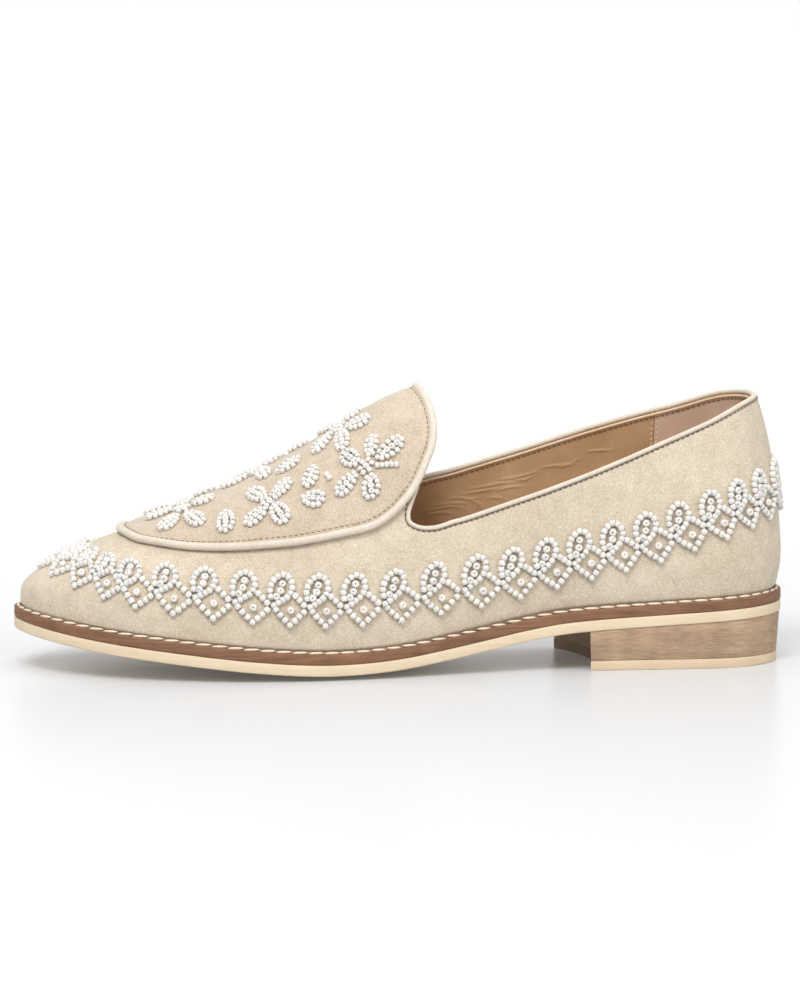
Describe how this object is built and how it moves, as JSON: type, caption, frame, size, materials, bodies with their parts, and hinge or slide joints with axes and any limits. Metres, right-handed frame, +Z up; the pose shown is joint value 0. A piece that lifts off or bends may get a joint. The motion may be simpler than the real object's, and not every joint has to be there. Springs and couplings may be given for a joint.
{
  "type": "beaded loafer",
  "caption": "Left slip-on loafer with a suede upper, raised apron, beadwork border and flowers, stitched welt, thin sole and low stacked heel.",
  "frame": {"origin": "floor under the middle of the shoe", "axes": "+X to the toe, +Y to the outer side of the foot, +Z up"},
  "size_m": [0.266, 0.091, 0.0968],
  "materials": {
    "natural_leather": "satin",
    "brown_leather": "satin",
    "stacked_leather": "satin",
    "lining_leather": "matte",
    "suede": "napped matte",
    "pale_suede": "matte",
    "pearl_beads": "pearly gloss"
  },
  "bodies": {
    "root": {"apron": "suede", "apron_piping": "pale_suede", "bead_border": "pearl_beads", "bead_flower_1": "pearl_beads", "bead_flower_2": "pearl_beads", "bead_flower_3": "pearl_beads", "bead_flower_4": "pearl_beads", "bead_flower_5": "pearl_beads", "bead_flower_6": "pearl_beads", "bead_flower_7": "pearl_beads", "bead_petal_1": "pearl_beads", "bead_petal_10": "pearl_beads", "bead_petal_11": "pearl_beads", "bead_petal_2": "pearl_beads", "bead_petal_3": "pearl_beads", "bead_petal_4": "pearl_beads", "bead_petal_5": "pearl_beads", "bead_petal_6": "pearl_beads", "bead_petal_7": "pearl_beads", "bead_petal_8": "pearl_beads", "bead_petal_9": "pearl_beads", "heel_stack": "stacked_leather", "heel_top_piece": "natural_leather", "insole": "lining_leather", "outsole": "natural_leather", "topline_binding": "pale_suede", "upper": "suede", "welt": "brown_leather"}
  },
  "joints": []
}
